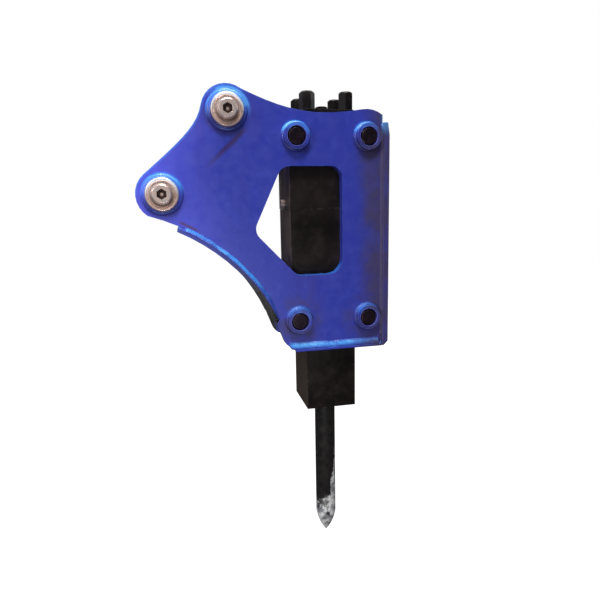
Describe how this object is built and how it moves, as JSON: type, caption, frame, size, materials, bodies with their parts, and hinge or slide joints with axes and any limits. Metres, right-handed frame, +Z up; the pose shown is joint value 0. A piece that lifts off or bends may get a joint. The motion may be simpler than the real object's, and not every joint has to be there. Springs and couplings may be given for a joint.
{
  "type": "hydraulic breaker hammer",
  "caption": "Side-mounted hydraulic breaker: a clamped square hammer body between two pinned side plates drives a pointed chisel.",
  "frame": {"origin": "centre of the arm pin, midway between the two side plates", "axes": "+Z up along the tool, away from its point; +X from the arm pin towards the front plate; Y across, along the pins, so the bolt heads are on the -Y side"},
  "size_m": [0.5758, 0.2428, 1.1464],
  "materials": {
    "blue_paint": "glossy blue enamel with worn edges",
    "black_paint": "black paint, dusty",
    "black_oxide": "black oxide with a thin coat of paint",
    "zinc_plate": "yellow-pink zinc plate",
    "bare_steel": "machined and oiled",
    "tool_steel": "black scale, worn bright at the tip",
    "bronze": "machined bronze",
    "seal_rubber": "smooth black rubber"
  },
  "bodies": {
    "bracket_and_hammer": {"arm_pin": "zinc_plate", "arm_pin_doubler_far": "blue_paint", "arm_pin_doubler_near": "blue_paint", "arm_pin_screw_far": "zinc_plate", "arm_pin_screw_near": "zinc_plate", "arm_pin_washer_far": "zinc_plate", "arm_pin_washer_near": "zinc_plate", "back_head": "black_paint", "bottom_plate": "blue_paint", "cylinder_block": "black_paint", "dust_seal": "seal_rubber", "front_head": "black_paint", "front_plate": "blue_paint", "front_tool_bush": "bronze", "gas_chamber_plug": "black_paint", "gas_charging_valve": "zinc_plate", "grease_nipple": "zinc_plate", "hose_adapter_pressure": "zinc_plate", "hose_adapter_return": "zinc_plate", "link_pin": "zinc_plate", "link_pin_doubler_far": "blue_paint", "link_pin_doubler_near": "blue_paint", "link_pin_screw_far": "zinc_plate", "link_pin_screw_near": "zinc_plate", "link_pin_washer_far": "zinc_plate", "link_pin_washer_near": "zinc_plate", "piston_seal": "seal_rubber", "retainer_pin_front": "bare_steel", "retainer_pin_rear": "bare_steel", "seal_carrier": "bare_steel", "side_bolt_lower_front": "black_oxide", "side_bolt_lower_rear": "black_oxide", "side_bolt_upper_front": "black_oxide", "side_bolt_upper_rear": "black_oxide", "side_nut_lower_front": "black_oxide", "side_nut_lower_rear": "black_oxide", "side_nut_upper_front": "black_oxide", "side_nut_upper_rear": "black_oxide", "side_plate_far": "blue_paint", "side_plate_near": "blue_paint", "tie_rod_far_front": "bare_steel", "tie_rod_far_rear": "bare_steel", "tie_rod_near_front": "bare_steel", "tie_rod_near_rear": "bare_steel", "tie_rod_nut_far_front": "black_paint", "tie_rod_nut_far_rear": "black_paint", "tie_rod_nut_near_front": "black_paint", "tie_rod_nut_near_rear": "black_paint", "upper_tool_bush": "bronze", "valve_sleeve": "bare_steel", "wear_plate": "blue_paint"},
    "tool": {"chisel": "tool_steel"},
    "striking_piston": {"piston": "bare_steel"},
    "valve": {"valve_spool": "bare_steel"}
  },
  "joints": [
    {"name": "tool_slide", "type": "slide", "parent": "bracket_and_hammer", "child": "tool", "axis": [0, 0, 1], "range_m": [0, 0.05]},
    {"name": "piston_slide", "type": "slide", "parent": "bracket_and_hammer", "child": "striking_piston", "axis": [0, 0, 1], "range_m": [0, 0.05]},
    {"name": "valve_slide", "type": "slide", "parent": "bracket_and_hammer", "child": "valve", "axis": [0, 0, 1], "range_m": [0, 0.01]}
  ]
}
